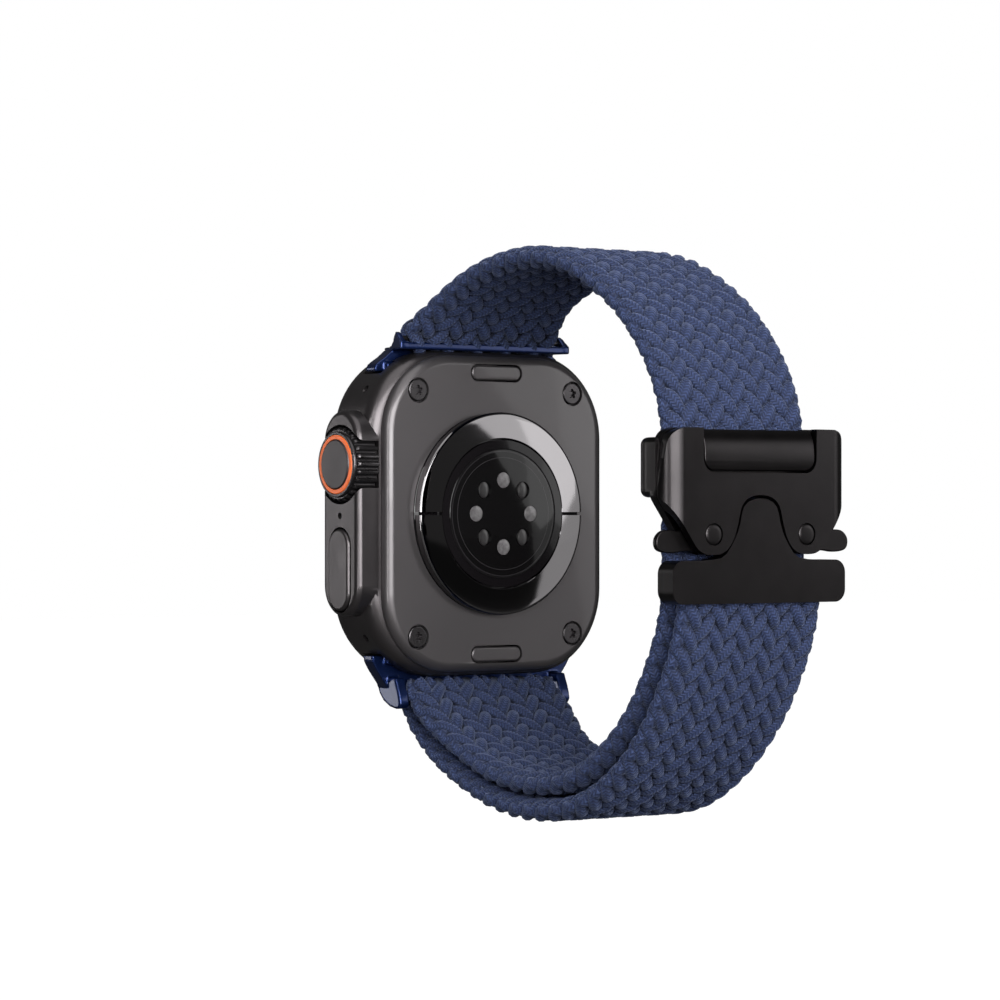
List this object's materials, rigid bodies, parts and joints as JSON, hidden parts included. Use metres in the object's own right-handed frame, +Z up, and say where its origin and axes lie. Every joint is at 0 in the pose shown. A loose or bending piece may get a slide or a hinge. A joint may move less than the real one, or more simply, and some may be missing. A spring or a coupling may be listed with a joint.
{
  "type": "fitness tracker band",
  "caption": "Wrist fitness tracker with a crown and back sensor on a braided elastic strap with slide-in lugs and a quick-release latch buckle.",
  "frame": {"origin": "under the middle of the assembly's box, on its lowest point", "axes": "+X across the strap, away from the crown; +Y from the buckle to the display; +Z up, from the lower lug to the upper lug"},
  "size_m": [0.0476, 0.0752, 0.0828],
  "materials": {
    "titanium": "satin",
    "dark_steel": "satin",
    "sensor_ring": "polished",
    "black_glass": "polished",
    "display_glass": "polished",
    "lens": "polished",
    "orange_ring": "satin",
    "blue_metal": "anodised satin",
    "braid": "woven",
    "black_metal": "satin",
    "spring_steel": "satin",
    "seal": "matt",
    "circuit": "matt",
    "cell": "matt",
    "copper": "satin"
  },
  "bodies": {
    "tracker": {"case_body": "titanium", "back_cover": "titanium", "cover_screw_upper_left": "dark_steel", "cover_screw_upper_right": "dark_steel", "cover_screw_lower_left": "dark_steel", "cover_screw_lower_right": "dark_steel", "sensor_dome": "black_glass", "electrode_upper": "sensor_ring", "electrode_lower": "sensor_ring", "sensor_window": "black_glass", "led_lens_right": "lens", "light_sensor_1": "dark_steel", "led_lens_top": "lens", "light_sensor_2": "dark_steel", "led_lens_left": "lens", "light_sensor_3": "dark_steel", "led_lens_bottom": "lens", "light_sensor_4": "dark_steel", "display_glass": "display_glass", "display_panel": "black_glass", "main_board": "circuit", "battery_cell": "cell", "haptic_motor": "dark_steel", "speaker_module": "seal", "charging_coil": "copper"},
    "crown_shaft": {"crown_stem": "dark_steel"},
    "crown": {"crown_wheel": "dark_steel", "crown_ring": "orange_ring", "crown_cap": "titanium"},
    "side_button": {"side_button": "titanium"},
    "action_button": {"action_button": "orange_ring"},
    "release_button_upper": {"release_button_upper": "titanium"},
    "release_button_lower": {"release_button_lower": "titanium"},
    "lock_pin_upper": {"lock_pin_upper": "spring_steel"},
    "lock_pin_lower": {"lock_pin_lower": "spring_steel"},
    "band": {"lug_upper": "blue_metal", "lug_lower": "blue_metal", "strap_bar_upper": "dark_steel", "strap_bar_lower": "dark_steel", "strap_main": "braid", "buckle_frame": "black_metal", "front_plate": "black_metal", "rivet_left": "black_metal", "rivet_right": "black_metal", "lever_spring_left": "spring_steel", "lever_spring_right": "spring_steel", "flap_pin": "dark_steel"},
    "release_lever_left": {"release_lever_left": "black_metal"},
    "release_lever_right": {"release_lever_right": "black_metal"},
    "cam_flap": {"cam_flap": "black_metal"},
    "tail": {"strap_tail": "braid", "tongue": "black_metal", "tongue_bar": "dark_steel"}
  },
  "joints": [
    {"name": "crown_press", "type": "slide", "parent": "tracker", "child": "crown_shaft", "axis": [1, 0, 0], "range_m": [0, 0.0003], "stiffness_N_per_m": 900},
    {"name": "crown_turn", "type": "hinge", "parent": "crown_shaft", "child": "crown", "pos_m": [-0.0212, 0.03118, 0.05142], "axis": [1, 0, 0], "continuous": true},
    {"name": "side_button_press", "type": "slide", "parent": "tracker", "child": "side_button", "axis": [1, 0, 0], "range_m": [0, 0.0004], "stiffness_N_per_m": 900},
    {"name": "action_button_press", "type": "slide", "parent": "tracker", "child": "action_button", "axis": [-1, 0, 0], "range_m": [0, 0.0004], "stiffness_N_per_m": 900},
    {"name": "release_upper_press", "type": "slide", "parent": "tracker", "child": "release_button_upper", "axis": [0, 1, 0], "range_m": [0, 0.0004], "stiffness_N_per_m": 900},
    {"name": "release_lower_press", "type": "slide", "parent": "tracker", "child": "release_button_lower", "axis": [0, 1, 0], "range_m": [0, 0.0004], "stiffness_N_per_m": 900},
    {"name": "band_slide", "type": "slide", "parent": "tracker", "child": "band", "axis": [1, 0, 0], "range_m": [-0.04, 0.04]},
    {"name": "lock_pin_upper_press", "type": "slide", "parent": "band", "child": "lock_pin_upper", "axis": [0, 1, 0], "range_m": [0, 0.0006], "stiffness_N_per_m": 400},
    {"name": "lock_pin_lower_press", "type": "slide", "parent": "band", "child": "lock_pin_lower", "axis": [0, 1, 0], "range_m": [0, 0.0006], "stiffness_N_per_m": 400},
    {"name": "lever_left_squeeze", "type": "hinge", "parent": "band", "child": "release_lever_left", "pos_m": [-0.007, -0.03542, 0.04127], "axis": [0, -1, 0], "range_deg": [0, 8], "stiffness_Nm_per_rad": 0.06},
    {"name": "lever_right_squeeze", "type": "hinge", "parent": "band", "child": "release_lever_right", "pos_m": [0.0096, -0.03542, 0.04127], "axis": [0, 1, 0], "range_deg": [0, 8], "stiffness_Nm_per_rad": 0.06},
    {"name": "cam_flap_lift", "type": "hinge", "parent": "band", "child": "cam_flap", "pos_m": [0.0013, -0.03542, 0.05392], "axis": [-1, 0, 0], "range_deg": [0, 100]},
    {"name": "tail_open", "type": "hinge", "parent": "band", "child": "tail", "pos_m": [0.0013, 0.02933, 0.01622], "axis": [1, 0, 0], "range_deg": [0, 60]}
  ]
}
